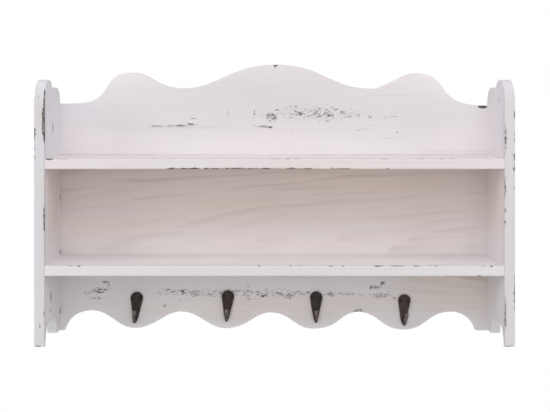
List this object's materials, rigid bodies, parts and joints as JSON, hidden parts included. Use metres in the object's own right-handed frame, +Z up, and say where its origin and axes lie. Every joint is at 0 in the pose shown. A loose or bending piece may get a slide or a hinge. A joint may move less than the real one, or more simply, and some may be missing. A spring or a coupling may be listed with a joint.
{
  "type": "wall shelf with coat hooks",
  "caption": "Whitewashed wooden wall shelf with an upper and a lower board between shaped sides, a scalloped back and forged hooks along its apron.",
  "frame": {"origin": "on the wall plane, midway between the two hangers, at the height of their entry holes", "axes": "+X to the right along the shelf, +Y into the wall, +Z up"},
  "size_m": [0.6, 0.13, 0.358],
  "materials": {
    "side_boards": "chalky whitewash over pine, rubbed through at the edges",
    "shelf_boards": "chalky whitewash over pine, rubbed through at the edges",
    "back_boards": "chalky whitewash over pine, rubbed through at the edges",
    "forged_iron": "hand-forged, blackened and waxed, satin",
    "black_screws": "blackened steel",
    "zinc_steel": "zinc plated, satin"
  },
  "bodies": {
    "root": {"side_left": "side_boards", "side_right": "side_boards", "shelf_lower": "shelf_boards", "shelf_upper": "shelf_boards", "back_board_lower": "back_boards", "back_board_upper": "back_boards", "hook_1": "forged_iron", "hook_2": "forged_iron", "hook_3": "forged_iron", "hook_4": "forged_iron", "hook_screws": "black_screws", "hanger_left": "zinc_steel", "hanger_right": "zinc_steel", "hanger_screws": "zinc_steel", "shelf_screws": "zinc_steel", "back_screws": "zinc_steel"}
  },
  "joints": []
}
